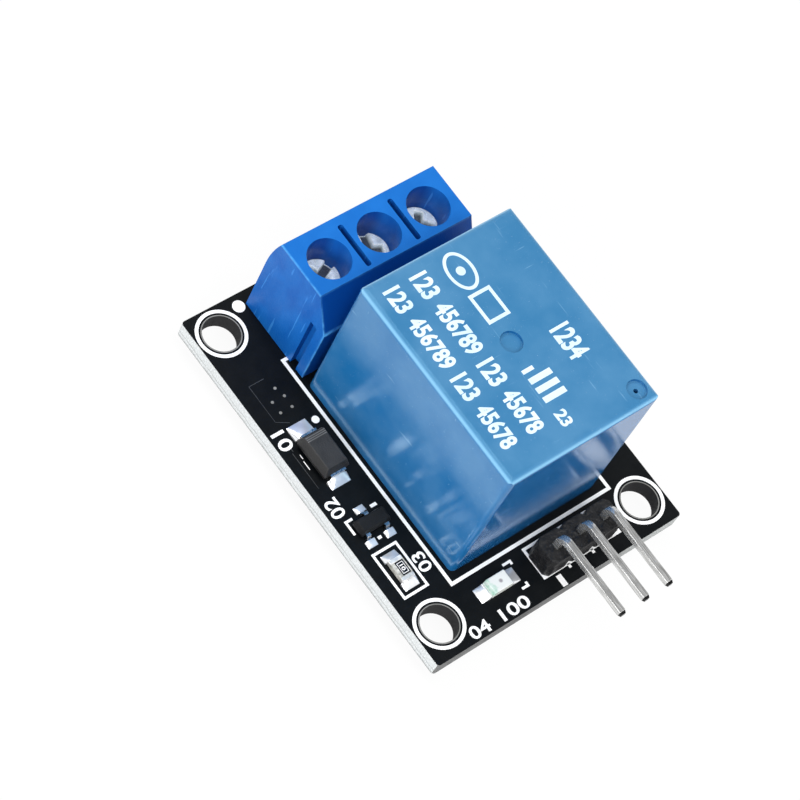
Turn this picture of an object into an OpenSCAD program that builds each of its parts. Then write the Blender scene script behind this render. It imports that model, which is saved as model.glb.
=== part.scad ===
// Relay module board: a sealed change-over relay, a three-way screw terminal
// block, a three-pin control header and the small parts that drive the coil.
// Frame: origin at the centre of the four mounting holes on the board's
// underside, +Z up through the board, +Y towards the terminal block.

/* [Board] */
// Width of the board, left to right
board_w = 26; // [24:0.1:40]
// Length of the board, header edge to terminal edge
board_l = 34.3; // [33:0.1:60]
// Thickness of the laminate
board_t = 1.6; // [0.8:0.1:3.2]
// Radius of the board's corners
board_corner_r = 0.3; // [0.1:0.1:2]
// Mounting hole spacing, left to right
hole_span_x = 21.4; // [20:0.1:22]
// Mounting hole spacing, front to back
hole_span_y = 29.1; // [27:0.1:29.5]
// Diameter of the mounting holes
hole_d = 3.2; // [2:0.1:3.6]
// Front edge of the board to the front pair of holes
hole_front_in = 2.8; // [2.2:0.1:3.2]
// How far the trimmed leads stand out below the board
lead_stick = 1.5; // [0.6:0.1:3]
// Extra diameter of a board hole over its lead
lead_slack = 0.3; // [0.1:0.05:0.5]

/* [Relay case] */
// Width of the relay, left to right
relay_w = 15.4; // [14.6:0.1:18]
// Length of the relay, front to back
relay_l = 19.1; // [18.6:0.1:21]
// Height of the relay above the board
relay_h = 15.4; // [14.5:0.1:20]
// Relay's centre to the right of the hole pattern's centre
relay_x = 0.5; // [-1:0.1:2]
// Front edge of the board to the front face of the relay
relay_front_in = 5.75; // [5:0.05:7]
// Wall of the relay's case
case_wall = 0.8; // [0.5:0.05:1]
// Thickness of the case's top
case_top = 0.9; // [0.6:0.05:1.2]
// Radius of the case's outer edges
case_edge_r = 0.5; // [0.1:0.05:1]
// Diameter of the shallow mark at the middle of the top
gate_mark_d = 1.9; // [1:0.1:3]
// Diameter of the recess round the vent
vent_recess_d = 1.75; // [1:0.05:2.5]
// Diameter of the vent
vent_d = 0.4; // [0.2:0.05:0.8]
// Vent to the two nearest sides of the case
vent_in = 1.4; // [1.3:0.05:3]
// Depth of both shallow recesses
mark_depth = 0.3; // [0.05:0.05:0.4]

/* [Relay base] */
// Thickness of the moulded base
base_t = 1.2; // [0.8:0.1:2]
// Rim of the case to the underside of the base
base_recess = 0.9; // [0.5:0.05:1.5]
// Thickness of the epoxy seal under the base
seal_t = 0.6; // [0.2:0.05:0.9]
// Gap all round the base inside the case
base_fit = 0.05; // [0.02:0.01:0.2]
// Gap round pins, rivets and cores pressed into their holes
press_fit = 0.02; // [0.01:0.01:0.05]
// Side of the case to the coil pins and the contact pins
pin_side_in = 1.7; // [1.5:0.05:2.2]
// Front of the case to the common pin
common_in = 2.4; // [1.9:0.05:2.8]
// Common pin to the coil pins
coil_pin_step = 2; // [1.6:0.1:3]
// Back of the case to the two contact pins
contact_in = 2.5; // [2.3:0.05:3]
// Diameter of the coil pins
coil_pin_d = 0.6; // [0.4:0.05:0.9]
// Width of the flat relay pins
flat_pin_w = 1; // [0.6:0.05:1.4]

/* [Relay coil] */
// Thickness of the yoke
yoke_t = 1.2; // [0.8:0.1:1.6]
// Width of the yoke
yoke_w = 8; // [5:0.1:8.6]
// Yoke to the bobbin
yoke_gap = 0.25; // [0.1:0.05:0.5]
// Length of the bobbin's flanges, front to back
flange_l = 9.6; // [8:0.1:10.2]
// Thickness of the bobbin's flanges
flange_t = 0.7; // [0.4:0.05:1]
// Diameter of the iron core
core_d = 4.2; // [2.5:0.1:5]
// Wall of the bobbin's tube
bobbin_wall = 0.6; // [0.3:0.05:1]
// Flange edge to the outside of the winding
winding_in = 0.25; // [0.1:0.05:1]
// Diameter of the core's pole face
pole_d = 7; // [5.5:0.1:8]
// Thickness of the pole face
pole_t = 0.7; // [0.4:0.05:1]
// Bobbin left outside each coil pin
bobbin_side = 0.35; // [0.2:0.05:0.5]
// Length of the bobbin's feet round the coil pins
foot_l = 2.2; // [1.4:0.1:2.6]
// Gap between the yoke and the bobbin's feet
foot_gap = 0.3; // [0.1:0.05:0.6]

/* [Relay contacts] */
// Thickness of the armature
arm_t = 1.2; // [0.8:0.1:1.5]
// Width of the armature
arm_w = 7.4; // [5:0.1:9]
// Swing of the armature between released and pulled in, degrees
arm_swing = 3; // [1.5:0.25:4]
// Thickness of the moving contact spring
spring_t = 0.15; // [0.1:0.01:0.25]
// Width of the moving contact spring
spring_w = 3; // [2:0.1:4.5]
// Thickness of the strip that joins the yoke to the common pin
common_t = 0.3; // [0.2:0.05:0.4]
// Width of that strip
common_w = 5; // [3:0.1:7]
// Reach of the strip's tongue over the armature
tongue_l = 1.9; // [1:0.1:2.5]
// Heel of the armature to the start of the contact spring
spring_start = 2.9; // [2.6:0.1:5]
// Contact spring past the rim of the moving contact
spring_end = 0.3; // [0.1:0.05:0.5]
// Thickness of the fixed contact blades
blade_t = 0.35; // [0.2:0.05:0.5]
// Width of the fixed contact blades
blade_w = 2.4; // [1.6:0.1:2.5]
// Top blade to the inside of the case's top
blade_head_gap = 0.7; // [0.3:0.05:1.2]
// Diameter of the silver contacts
contact_d = 1.8; // [1.2:0.1:2.2]
// Height of each silver contact
contact_t = 0.35; // [0.2:0.05:0.5]
// Gap left between closed contacts and under the closed armature
touch_gap = 0.03; // [0.02:0.01:0.08]

/* [Terminal block] */
// Spacing of the ways
term_pitch = 5.08; // [4.9:0.01:5.3]
// Plain stretch outside the first and last way
term_end = 0.15; // [0.05:0.05:1]
// Depth of the block, relay side to wire side
term_l = 7.7; // [7.4:0.1:10]
// Height of the block above the board
term_h = 10.05; // [9.8:0.05:14]
// Gap between the relay and the block
term_gap = 0.65; // [0.2:0.05:1]
// Relay side of the block to the screws
well_in = 4.3; // [4.2:0.05:4.6]
// Diameter of the screw wells
well_d = 3.7; // [3.5:0.05:3.85]
// Height of the relay side's upright wall
slope_z = 6.7; // [5:0.1:8]
// How far the relay side leans back at the top
slope_in = 1.8; // [1:0.05:2.1]
// Height at which the wire side starts to curve in
curve_z = 6.5; // [4:0.1:8]
// How far the wire side curves in at the top
curve_in = 0.6; // [0.2:0.05:1]
// Width of the slots between the wells
slot_w = 0.5; // [0.3:0.05:0.8]
// Length of the slots between the wells
slot_l = 4.1; // [2:0.1:4.4]
// Depth of the slots between the wells
slot_depth = 2; // [0.5:0.1:3]
// Width of the joining groove in the left end
groove_w = 0.75; // [0.5:0.05:1]
// Relay side of the block to that groove
groove_in = 0.9; // [0.8:0.05:1.3]
// Height of the joining groove
groove_h = 6.5; // [3:0.1:6.6]
// Depth of the joining groove
groove_depth = 0.6; // [0.3:0.05:0.7]
// Clearance of the joining rail to a neighbour's groove
rail_slack = 0.1; // [0.05:0.05:0.2]

/* [Wire clamps] */
// Width of the chamber behind each wire entry
chamber_w = 3.9; // [3.7:0.05:4]
// Floor of the housing under the chambers
chamber_floor = 1; // [0.6:0.05:1.3]
// Gap round a clamp frame in its chamber
frame_fit = 0.05; // [0.02:0.01:0.1]
// Height of a clamp frame
frame_h = 5.1; // [4.8:0.1:5.3]
// Depth of a clamp frame, front to back
frame_l = 5.2; // [4.4:0.1:5.3]
// Sheet of the clamp frame
frame_t = 0.6; // [0.4:0.05:0.7]
// Thickness of the threaded top of the frame
nut_t = 0.9; // [0.6:0.05:1]
// Diameter of the clamp screw's shank
screw_d = 2.5; // [2:0.1:2.5]
// Running gap round the shank in its thread
screw_fit = 0.05; // [0.03:0.01:0.1]
// Diameter of the screw's head
head_d = 3.4; // [3:0.05:3.45]
// Height of the screw's head
head_h = 1.2; // [0.8:0.05:1.6]
// Gap under the head with the clamp screwed down
head_gap = 0.15; // [0.05:0.05:0.3]
// Travel of the screw from shut to open
screw_travel = 2; // [1:0.1:2.2]
// Width of the screwdriver slot
driver_w = 0.6; // [0.4:0.05:0.8]
// Depth of the screwdriver slot
driver_depth = 0.6; // [0.3:0.05:0.8]
// Thickness of the wire guard
guard_t = 0.35; // [0.2:0.05:0.5]
// Gap under the guard, over it and at its sides
guard_gap = 0.1; // [0.05:0.01:0.15]
// Height of the guard's turned-up lip
guard_lip = 0.6; // [0.3:0.05:0.8]
// Width of the clamp's solder pin
clamp_pin_w = 1; // [0.6:0.05:1.2]

/* [Header] */
// Pin spacing
header_pitch = 2.54; // [2:0.01:2.54]
// Height and depth of the plastic body
header_body = 2.54; // [2:0.01:3]
// Cut-off corners of each block of the body
header_notch = 0.4; // [0.2:0.05:0.6]
// Side of the square pins
header_pin = 0.6; // [0.5:0.01:0.7]
// Front edge of the board to the row of pins
header_in = 2.7; // [2.6:0.05:3]
// Board to the middle of the level part of the pins
header_rise = 4; // [3.7:0.05:5]
// Inner radius of the pins' bend
header_bend_r = 0.4; // [0.2:0.05:0.6]
// Row of pins to their tips
header_reach = 7.7; // [5:0.1:12]
// Length of the taper at the tips
header_taper = 0.3; // [0.2:0.05:1]
// Side of the square at the pins' tips
header_tip = 0.4; // [0.2:0.01:0.5]

/* [Diode] */
// Length of the diode's body
diode_l = 3.75; // [3:0.05:4.6]
// Width of the diode's body
diode_w = 2.5; // [1.6:0.1:3]
// Height of the diode above the board
diode_h = 1.6; // [1:0.1:2.4]
// Left edge of the board to the diode's middle
diode_left_in = 2.75; // [2.3:0.05:2.8]
// Front edge of the board to the diode's middle
diode_front_in = 19.05; // [18:0.05:20.5]
// How far the diode's sides lean in above their parting line
diode_draft = 0.28; // [0.05:0.01:0.4]
// Width of the diode's leads
diode_lead_w = 1.5; // [1:0.1:1.6]
// Thickness of the diode's leads
diode_lead_t = 0.2; // [0.1:0.05:0.3]
// Length of the diode's solder pads past the leads
diode_pad_l = 1.05; // [0.6:0.05:1.4]
// How far the middle of the pads lies behind the diode's
diode_pad_shift = 0.3; // [0:0.05:0.4]
// Width of the diode's solder pads
diode_pad_w = 2; // [1.6:0.1:2.2]

/* [Transistor] */
// Length of the transistor's body
trans_l = 2.9; // [2.6:0.1:3.1]
// Width of the transistor's body
trans_w = 1.35; // [1.1:0.05:1.6]
// Height of the transistor above the board
trans_h = 1; // [0.8:0.05:1.4]
// Left edge of the board to the transistor's middle
trans_left_in = 2.7; // [2.4:0.05:2.8]
// Front edge of the board to the transistor's middle
trans_front_in = 12.4; // [12.1:0.05:12.8]
// How far the transistor's sides lean in above their parting line
trans_draft = 0.16; // [0.05:0.01:0.2]
// Spacing of the transistor's paired leads
trans_lead_step = 1.9; // [1.7:0.05:2]
// Width of the transistor's leads
trans_lead_w = 0.4; // [0.3:0.05:0.5]
// Thickness of the transistor's leads
trans_lead_t = 0.12; // [0.08:0.01:0.14]
// Reach of the leads from the body
trans_lead_l = 0.45; // [0.45:0.05:0.7]
// Width of the transistor's solder pads
trans_pad_w = 1; // [0.6:0.05:1.1]
// Length of the transistor's solder pads past the leads
trans_pad_l = 0.6; // [0.4:0.05:0.8]

/* [Resistor] */
// Length of the chip resistor
res_l = 2; // [1.6:0.1:2.4]
// Width of the chip resistor
res_w = 1.25; // [0.8:0.05:1.6]
// Height of the chip resistor
res_h = 0.5; // [0.35:0.05:0.7]
// Length of its metal ends
res_end = 0.35; // [0.2:0.05:0.5]
// Left edge of the board to the resistor's middle
res_left_in = 2.35; // [2:0.05:2.4]
// Front edge of the board to the resistor's middle
res_front_in = 8; // [7.9:0.05:8.3]
// Length of the resistor's solder pads past its ends
res_pad_l = 0.7; // [0.4:0.05:0.8]
// Width of the resistor's solder pads
res_pad_w = 1.6; // [1.3:0.05:1.8]

/* [Indicator] */
// Length of the indicator's base
led_l = 2.5; // [1.8:0.1:2.8]
// Width of the indicator's base
led_w = 1.35; // [1:0.05:1.6]
// Thickness of the indicator's base
led_base_t = 0.35; // [0.2:0.05:0.5]
// Height of the lens above the base
led_lens_h = 0.45; // [0.3:0.05:0.7]
// Length of the metal ends of the base
led_end = 0.2; // [0.15:0.05:0.4]
// Indicator's middle to the first header pin
led_side_in = 5.1; // [4.6:0.05:5.4]
// Front edge of the board to the indicator's middle
led_front_in = 3; // [2.8:0.05:3.4]
// Length of the indicator's solder pads past its ends
led_pad_l = 0.8; // [0.5:0.05:1]
// Width of the indicator's solder pads
led_pad_w = 1.4; // [1.2:0.05:1.6]

/* [Solder] */
// Height of the solder cones under the board
cone_h = 1; // [0.4:0.05:1.2]
// Ring of solder round each lead at the board
cone_ring = 0.55; // [0.3:0.05:0.8]
// Thickness of the solder at the outer edge of a pad
pad_skin = 0.08; // [0.04:0.01:0.15]

/* [Hidden] */

$fn = 48;
eps = 0.01;
ways = 3;
header_pins = 3;

// Board outline and edges
front_y = -hole_span_y / 2 - hole_front_in;
left_x = -board_w / 2;
lead_end_z = -board_t - lead_stick;

// Relay, in its own frame: origin at its centre on the board's top face
relay_y = front_y + relay_front_in + relay_l / 2;
inner_w = relay_w - 2 * case_wall;
inner_l = relay_l - 2 * case_wall;
inner_top = relay_h - case_top;
base_top = base_recess + base_t;
common_y = -relay_l / 2 + common_in;
coil_pin_y = common_y + coil_pin_step;
contact_y = relay_l / 2 - contact_in;
pin_x = relay_w / 2 - pin_side_in;
yoke_front = common_y + common_t / 2;
yoke_back = yoke_front + yoke_t;
core_y = yoke_back + yoke_gap + flange_l / 2;
arm_r = contact_y - yoke_front;
arm_travel = arm_r * sin(arm_swing);
closed_tip_z = inner_top - blade_head_gap - blade_t - contact_t;
tip_lift = arm_travel + (arm_t + spring_t + contact_t) * cos(arm_swing) + contact_d / 2 * sin(arm_swing);
yoke_top = closed_tip_z - touch_gap - tip_lift;
heel_in = (arm_t + spring_t) * sin(arm_swing) + touch_gap;
open_tip_z = yoke_top + arm_t - contact_t - touch_gap;
pole_z = yoke_top - touch_gap;
bobbin_z = base_top + yoke_t;
winding_z = bobbin_z + flange_t;
winding_h = pole_z - pole_t - flange_t - winding_z;
winding_d = flange_l - 2 * winding_in;
bobbin_w = 2 * (pin_x + coil_pin_d / 2 + bobbin_side);
strip_top = yoke_top + arm_t * cos(arm_swing) + 4 * touch_gap + tongue_l * sin(arm_swing);

// Terminal block, in its own frame: origin at the middle of its relay-side base
term_y = relay_y + relay_l / 2 + term_gap;
term_w = ways * term_pitch + 2 * term_end;
top_edge = 0.3;
frame_top = chamber_floor + frame_h;
chamber_top = frame_top + frame_fit;
chamber_in = well_in - frame_l / 2 - frame_fit;
frame_w = chamber_w - 2 * frame_fit;
guard_w = frame_w - 2 * frame_t - 2 * guard_gap;
guard_l = frame_l - 2 * guard_gap;
guard_z = chamber_floor + frame_t + guard_gap;
screw_tip_z = guard_z + guard_t + touch_gap;
head_z = frame_top + head_gap;

// Header, in its own frame: origin at the first pin on the board's top face
header_y = front_y + header_in;

// Small parts
diode_x = left_x + diode_left_in;
diode_y = front_y + diode_front_in;
trans_x = left_x + trans_left_in;
trans_y = front_y + trans_front_in;
res_x = left_x + res_left_in;
res_y = front_y + res_front_in;
led_x = relay_x - led_side_in;
led_y = front_y + led_front_in;
stand_off = 0.1;

// Frames of the main groups
module at_relay() { translate([relay_x, relay_y, board_t]) children(); }
module at_terminal() { translate([relay_x, term_y, board_t]) children(); }
module at_header() { translate([relay_x, header_y, board_t]) children(); }
module at_part(x, y) { translate([x, y, board_t]) children(); }
module at_way(n) { at_terminal() translate([way_x(n), well_in, 0]) children(); }
function way_x(n) = (n - (ways + 1) / 2) * term_pitch;
function header_x(n) = (n - 1) * header_pitch;

// Every lead that passes through the board: x, y, widest size
function board_leads() = concat(
    [for (s = [-1, 1]) [relay_x + s * pin_x, relay_y + coil_pin_y, coil_pin_d]],
    [for (s = [-1, 1]) [relay_x + s * pin_x, relay_y + contact_y, flat_pin_w]],
    [[relay_x, relay_y + common_y, flat_pin_w]],
    [for (n = [1:ways]) [relay_x + way_x(n), term_y + well_in, clamp_pin_w]],
    [for (n = [1:header_pins]) [relay_x + header_x(n), header_y, header_pin * sqrt(2)]]
);

// Flat shapes
module rounded_rect(w, l, r) {
    square([w - 2 * r, l], center = true);
    square([w, l - 2 * r], center = true);
    for (x = [-1, 1], y = [-1, 1]) translate([x * (w / 2 - r), y * (l / 2 - r)]) circle(r);
}
// Upright rectangle from below the floor to h with its two top corners rounded
module arch(w, h, r) {
    translate([-w / 2, -1]) square([w, h + 1 - r]);
    translate([-w / 2 + r, -1]) square([w - 2 * r, h + 1]);
    for (s = [-1, 1]) translate([s * (w / 2 - r), h - r]) circle(r);
}
module box(w, l, z0, z1) { translate([-w / 2, -l / 2, z0]) cube([w, l, z1 - z0]); }
module along_x(w) { rotate([90, 0, 90]) linear_extrude(w, center = true) children(); }
module along_y(l) { rotate([90, 0, 0]) linear_extrude(l, center = true) children(); }

module board() {
    color("#15161a") difference() {
        translate([0, front_y + board_l / 2, 0]) linear_extrude(board_t)
            rounded_rect(board_w, board_l, board_corner_r);
        for (x = [-1, 1], y = [-1, 1]) translate([x * hole_span_x / 2, y * hole_span_y / 2, -1])
            cylinder(d = hole_d, h = board_t + 2);
        for (p = board_leads()) translate([p[0], p[1], -1])
            cylinder(d = p[2] + lead_slack, h = board_t + 2);
    }
}

// Case: every outer edge but the rim is rounded
module relay_case() {
    color("#2f74a8") at_relay() difference() {
        intersection() {
            linear_extrude(relay_h) rounded_rect(relay_w, relay_l, case_edge_r);
            along_y(relay_l + 2) arch(relay_w, relay_h, case_edge_r);
            along_x(relay_w + 2) arch(relay_l, relay_h, case_edge_r);
        }
        translate([0, 0, -1]) linear_extrude(inner_top + 1) square([inner_w, inner_l], center = true);
        translate([0, 0, relay_h - mark_depth]) cylinder(d = gate_mark_d, h = 1);
        translate([relay_w / 2 - vent_in, -relay_l / 2 + vent_in, 0]) {
            translate([0, 0, relay_h - mark_depth]) cylinder(d = vent_recess_d, h = 1);
            translate([0, 0, inner_top - 1]) cylinder(d = vent_d, h = case_top + 2);
        }
    }
}

// Holes for the five pins through the base and the seal
module relay_pin_holes() {
    for (s = [-1, 1]) {
        translate([s * pin_x, coil_pin_y, 0]) cylinder(d = coil_pin_d + 2 * press_fit, h = relay_h);
        translate([s * pin_x, contact_y, 0])
            box(blade_t + 2 * press_fit, flat_pin_w + 2 * press_fit, 0, relay_h);
    }
    translate([0, common_y, 0]) box(flat_pin_w + 2 * press_fit, common_t + 2 * press_fit, 0, relay_h);
}

module relay_base() {
    color("#1d2b3a") at_relay() difference() {
        box(inner_w - 2 * base_fit, inner_l - 2 * base_fit, base_recess, base_top);
        relay_pin_holes();
    }
}

module relay_seal() {
    color("#101820") at_relay() difference() {
        box(inner_w, inner_l, base_recess - seal_t, base_recess);
        relay_pin_holes();
    }
}

module coil_bobbin() {
    color("#20242a") at_relay() difference() {
        union() {
            for (z = [bobbin_z, pole_z - pole_t - flange_t]) translate([0, core_y, 0])
                box(bobbin_w, flange_l, z, z + flange_t);
            translate([0, core_y, bobbin_z])
                cylinder(d = core_d + 2 * bobbin_wall, h = pole_z - pole_t - bobbin_z);
            for (s = [-1, 1]) translate([s * (bobbin_w / 2 + yoke_w / 2 + foot_gap) / 2, coil_pin_y, 0])
                box(bobbin_w / 2 - yoke_w / 2 - foot_gap, foot_l, base_top, winding_z);
        }
        translate([0, core_y, 0]) cylinder(d = core_d + 2 * press_fit, h = relay_h);
        for (s = [-1, 1]) translate([s * pin_x, coil_pin_y, 0])
            cylinder(d = coil_pin_d + 2 * press_fit, h = winding_z + eps);
    }
}

module coil_winding() {
    color("#b5622e") at_relay() translate([0, core_y, winding_z]) difference() {
        cylinder(d = winding_d, h = winding_h);
        translate([0, 0, -1]) cylinder(d = core_d + 2 * bobbin_wall, h = winding_h + 2);
    }
}

module coil_core() {
    color("#9aa0a6") at_relay() translate([0, core_y, 0]) {
        translate([0, 0, base_top]) cylinder(d = core_d, h = pole_z - base_top);
        translate([0, 0, pole_z - pole_t]) cylinder(d = pole_d, h = pole_t);
    }
}

module coil_pins() {
    color("#c9ccd0") at_relay() for (s = [-1, 1]) translate([s * pin_x, coil_pin_y, lead_end_z])
        cylinder(d = coil_pin_d, h = winding_z + flange_t - lead_end_z);
}

// L-shaped iron: a foot under the bobbin and an upright behind it
module relay_yoke() {
    color("#aab0b6") at_relay() difference() {
        union() {
            translate([0, (yoke_front + core_y + pole_d / 2) / 2, 0])
                box(yoke_w, core_y + pole_d / 2 - yoke_front, base_top, bobbin_z);
            translate([0, (yoke_front + yoke_back) / 2, 0]) box(yoke_w, yoke_t, base_top, yoke_top);
        }
        translate([0, core_y, 0]) cylinder(d = core_d + 2 * press_fit, h = bobbin_z + eps);
    }
}

// Swings the children up about the yoke's top edge to the released position
module released() {
    at_relay() translate([0, yoke_front, yoke_top]) rotate([arm_swing, 0, 0]) children();
}

module armature() {
    color("#aab0b6") released() translate([-arm_w / 2, heel_in, 0])
        cube([arm_w, core_y + pole_d / 2 - yoke_front - heel_in, arm_t]);
}

module contact_spring() {
    color("#c98d4a") released() difference() {
        translate([-spring_w / 2, spring_start, arm_t])
            cube([spring_w, arm_r + contact_d / 2 + spring_end - spring_start, spring_t]);
        translate([0, arm_r, 0]) cylinder(d = contact_d / 2, h = 2 * arm_t);
    }
}

// Double-headed silver rivet through the spring's free end
module moving_contact() {
    color("#d8d8d2") released() translate([0, arm_r, arm_t]) {
        translate([0, 0, spring_t]) cylinder(d = contact_d, h = contact_t);
        translate([0, 0, -contact_t]) cylinder(d = contact_d, h = contact_t);
        cylinder(d = contact_d / 2 - 2 * press_fit, h = spring_t);
    }
}

// Strip behind the yoke: tongue over the armature's heel, and the common pin below
module common_strip() {
    color("#c98d4a") at_relay() translate([0, common_y, 0]) {
        box(common_w, common_t, base_top, strip_top + common_t);
        translate([-common_w / 2, -common_t / 2, strip_top]) cube([common_w, tongue_l, common_t]);
        box(flat_pin_w, common_t, lead_end_z, base_top + eps);
    }
}

// Fixed blade: upright from its pin at one side, then level to the middle
module contact_blade(side, top) {
    at_relay() translate([0, contact_y, 0]) {
        translate([side * pin_x, 0, 0]) box(blade_t, blade_w, base_top, top);
        translate([side * pin_x, 0, 0]) box(blade_t, flat_pin_w, lead_end_z, base_top + eps);
        translate([side * (pin_x + blade_t / 2 - contact_d * 0.75) / 2, 0, 0])
            box(pin_x + blade_t / 2 + contact_d * 0.75, blade_w, top - blade_t, top);
    }
}
module closed_contact_blade() {
    color("#c98d4a") contact_blade(-1, closed_tip_z + contact_t + blade_t);
}
module open_contact_blade() {
    color("#c98d4a") contact_blade(1, open_tip_z - contact_t);
}
module contact_tip(z) { at_relay() translate([0, contact_y, z]) cylinder(d = contact_d, h = contact_t); }
module closed_contact_tip() { color("#d8d8d2") contact_tip(closed_tip_z); }
module open_contact_tip() { color("#d8d8d2") contact_tip(open_tip_z - contact_t); }

// Side view of the block: upright and then sloping towards the relay, bowed
// in at the top on the wire side
module term_profile() {
    bow_r = (pow(term_h - curve_z, 2) + pow(curve_in, 2)) / (2 * curve_in);
    intersection() {
        polygon([
            [0, 0], [term_l, 0], [term_l, term_h], [slope_in + top_edge / 2, term_h],
            [slope_in, term_h - top_edge], [0, slope_z]
        ]);
        union() {
            square([term_l, curve_z]);
            translate([term_l - bow_r, curve_z]) circle(bow_r, $fn = 180);
        }
    }
}

module terminal_housing() {
    color("#1f5fc4") at_terminal() {
        difference() {
            along_x(term_w) term_profile();
            for (n = [1:ways]) translate([way_x(n), 0, 0]) {
                translate([-chamber_w / 2, chamber_in, chamber_floor])
                    cube([chamber_w, term_l, chamber_top - chamber_floor]);
                translate([0, well_in, chamber_floor]) cylinder(d = well_d, h = term_h);
                translate([0, well_in, -1])
                    box(clamp_pin_w + 2 * frame_fit, frame_t + 2 * frame_fit, 0, chamber_floor + 2);
            }
            for (n = [1:ways - 1])
                translate([way_x(n) + term_pitch / 2, well_in, term_h - slot_depth])
                    linear_extrude(term_h) rounded_rect(slot_w, slot_l, slot_w * 0.4);
            translate([-term_w / 2 - 1, groove_in, -1]) cube([groove_depth + 1, groove_w, groove_h + 1]);
        }
        translate([term_w / 2 - eps, groove_in + rail_slack, 0])
            cube([groove_depth - rail_slack + eps, groove_w - 2 * rail_slack, groove_h - rail_slack]);
    }
}

// Bent sheet open to the wire, with the screw's thread in its top and a pin below
module clamp_frame(n) {
    color("#c4c8cc") at_way(n) difference() {
        union() {
            box(frame_w, frame_l, chamber_floor, frame_top);
            box(clamp_pin_w, frame_t, lead_end_z, chamber_floor + eps);
        }
        box(frame_w - 2 * frame_t, frame_l + 1, chamber_floor + frame_t, frame_top - nut_t);
        translate([0, 0, frame_top - nut_t - eps]) cylinder(d = screw_d + 2 * screw_fit, h = term_h);
    }
}
module clamp_frame_1() { clamp_frame(1); }
module clamp_frame_2() { clamp_frame(2); }
module clamp_frame_3() { clamp_frame(3); }

module clamp_screw(n) {
    color("#d4d7da") at_way(n) difference() {
        union() {
            translate([0, 0, screw_tip_z]) cylinder(d = screw_d, h = head_z - screw_tip_z + eps);
            translate([0, 0, head_z]) cylinder(d = head_d, h = head_h);
        }
        translate([0, 0, head_z + head_h - driver_depth]) {
            box(driver_w, head_d + 1, 0, head_h);
            box(head_d * 0.7, driver_w, 0, head_h);
        }
    }
}
module clamp_screw_1() { clamp_screw(1); }
module clamp_screw_2() { clamp_screw(2); }
module clamp_screw_3() { clamp_screw(3); }

// Leaf under the screw's tip, turned up at the wire side
module wire_guard(n) {
    color("#c4c8cc") at_way(n) {
        box(guard_w, guard_l, guard_z, guard_z + guard_t);
        translate([-guard_w / 2, guard_l / 2 - guard_t, guard_z]) cube([guard_w, guard_t, guard_t + guard_lip]);
    }
}
module wire_guard_1() { wire_guard(1); }
module wire_guard_2() { wire_guard(2); }
module wire_guard_3() { wire_guard(3); }

// One eight-sided block to each pin, joined in a row
module header_body() {
    half = header_pitch / 2;
    side = header_body / 2;
    cut = header_notch;
    color("#1a1a1d") at_header() difference() {
        for (n = [1:header_pins]) translate([header_x(n), 0, 0]) linear_extrude(header_body)
            polygon([
                [-half, -side + cut], [-half + cut, -side], [half - cut, -side], [half, -side + cut],
                [half, side - cut], [half - cut, side], [-half + cut, side], [-half, side - cut]
            ]);
        for (n = [1:header_pins]) translate([header_x(n), 0, 0])
            box(header_pin + 2 * press_fit, header_pin + 2 * press_fit, -1, header_body + 1);
    }
}

// Square pin: up through the body, round the bend and level out past the board
module header_pin_shape() {
    h = header_pin / 2;
    tip = header_tip / 2;
    bend = header_bend_r + header_pin;
    bend_z = header_rise + h - bend;
    intersection() {
        along_x(header_pin) {
            translate([-h, lead_end_z]) square([header_pin, bend_z - lead_end_z]);
            translate([h - bend, bend_z]) intersection() {
                difference() { circle(bend); circle(header_bend_r); }
                square(bend);
            }
            translate([-header_reach, header_rise - h]) {
                translate([header_taper, 0]) square([header_reach - header_taper + h - bend, header_pin]);
                polygon([
                    [0, h - tip], [header_taper, 0], [header_taper, header_pin], [0, h + tip]
                ]);
            }
        }
        linear_extrude(2 * (header_rise - lead_end_z), center = true) {
            translate([-h, -header_reach + header_taper]) square([header_pin, header_reach + header_pin]);
            polygon([
                [-tip, -header_reach], [tip, -header_reach],
                [h, -header_reach + header_taper], [-h, -header_reach + header_taper]
            ]);
        }
    }
}
module header_pin(n) { color("#cfd2d6") at_header() translate([header_x(n), 0, 0]) header_pin_shape(); }
module header_pin_1() { header_pin(1); }
module header_pin_2() { header_pin(2); }
module header_pin_3() { header_pin(3); }

// Moulded chip body with drafted sides, widest at its parting line
module moulded_body(w, l, z0, z1, part_z, draft_low, draft_high) {
    intersection() {
        along_y(l + 1) polygon([
            [-w / 2 + draft_low, z0], [w / 2 - draft_low, z0], [w / 2, part_z],
            [w / 2 - draft_high, z1], [-w / 2 + draft_high, z1], [-w / 2, part_z]
        ]);
        along_x(w + 1) polygon([
            [-l / 2 + draft_low, z0], [l / 2 - draft_low, z0], [l / 2, part_z],
            [l / 2 - draft_high, z1], [-l / 2 + draft_high, z1], [-l / 2, part_z]
        ]);
    }
}

module diode_body() {
    mid = diode_h / 2;
    color("#202124") at_part(diode_x, diode_y)
        moulded_body(diode_w, diode_l, stand_off + diode_lead_t, diode_h, mid, diode_lead_t / 2, diode_draft);
}

// C-shaped straps down each end of the body and under it
module diode_leads() {
    t = diode_lead_t;
    color("#cfd2d6") at_part(diode_x, diode_y)
    for (a = [0, 180]) rotate([0, 0, a]) translate([-diode_lead_w / 2, diode_l / 2, 0]) {
        cube([diode_lead_w, t, diode_h / 2 + t / 2]);
        translate([0, -diode_l / 4, 0]) cube([diode_lead_w, diode_l / 4 + eps, t]);
    }
}

module transistor_body() {
    color("#202124") at_part(trans_x, trans_y)
        moulded_body(trans_l, trans_w, stand_off, trans_h, trans_h / 2, trans_lead_t / 2, trans_draft);
}

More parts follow.
